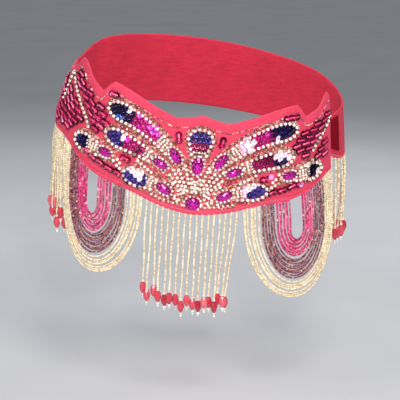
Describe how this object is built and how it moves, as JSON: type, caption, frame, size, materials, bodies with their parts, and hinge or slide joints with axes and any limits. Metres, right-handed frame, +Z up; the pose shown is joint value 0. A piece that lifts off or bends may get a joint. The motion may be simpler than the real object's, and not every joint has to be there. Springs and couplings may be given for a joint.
{
  "type": "belly dance hip belt",
  "caption": "Stiff shaped hip belt in its worn form, with a beaded fan of petals, centre and side bead fringe and looped bead swags.",
  "frame": {"origin": "middle of the worn ring, where the wearer's hips hold it", "axes": "+Z up, -Y the front, +X the viewer's right when the front is seen"},
  "size_m": [0.3439, 0.2189, 0.2978],
  "materials": {
    "coral_cloth": "short nap with a soft sheen",
    "closure_tape": "matt loop pile",
    "sequin_pad": "sequins in violet and magenta with silver beads",
    "magenta_gem": "faceted, foil backed",
    "ivory_beads": "pearly seed beads with coral drop beads",
    "swag_beads": "pink, brown and ivory seed beads"
  },
  "bodies": {
    "root": {"front_panel": "coral_cloth", "back_panel": "coral_cloth", "closure_tape": "closure_tape", "petal_center": "sequin_pad", "petal_upper_left": "sequin_pad", "petal_upper_right": "sequin_pad", "petal_middle_left": "sequin_pad", "petal_middle_right": "sequin_pad", "petal_lower_left": "sequin_pad", "petal_lower_right": "sequin_pad", "petal_side_left": "sequin_pad", "petal_side_right": "sequin_pad", "gem_center": "magenta_gem", "gem_upper_left": "magenta_gem", "gem_upper_right": "magenta_gem", "gem_middle_left": "magenta_gem", "gem_middle_right": "magenta_gem", "gem_lower_left": "magenta_gem", "gem_lower_right": "magenta_gem", "gem_side_left": "magenta_gem", "gem_side_right": "magenta_gem", "jewel_base": "magenta_gem", "fringe_center": "ivory_beads", "fringe_side_left": "ivory_beads", "fringe_side_right": "ivory_beads", "swag_left": "swag_beads", "swag_right": "swag_beads"}
  },
  "joints": []
}
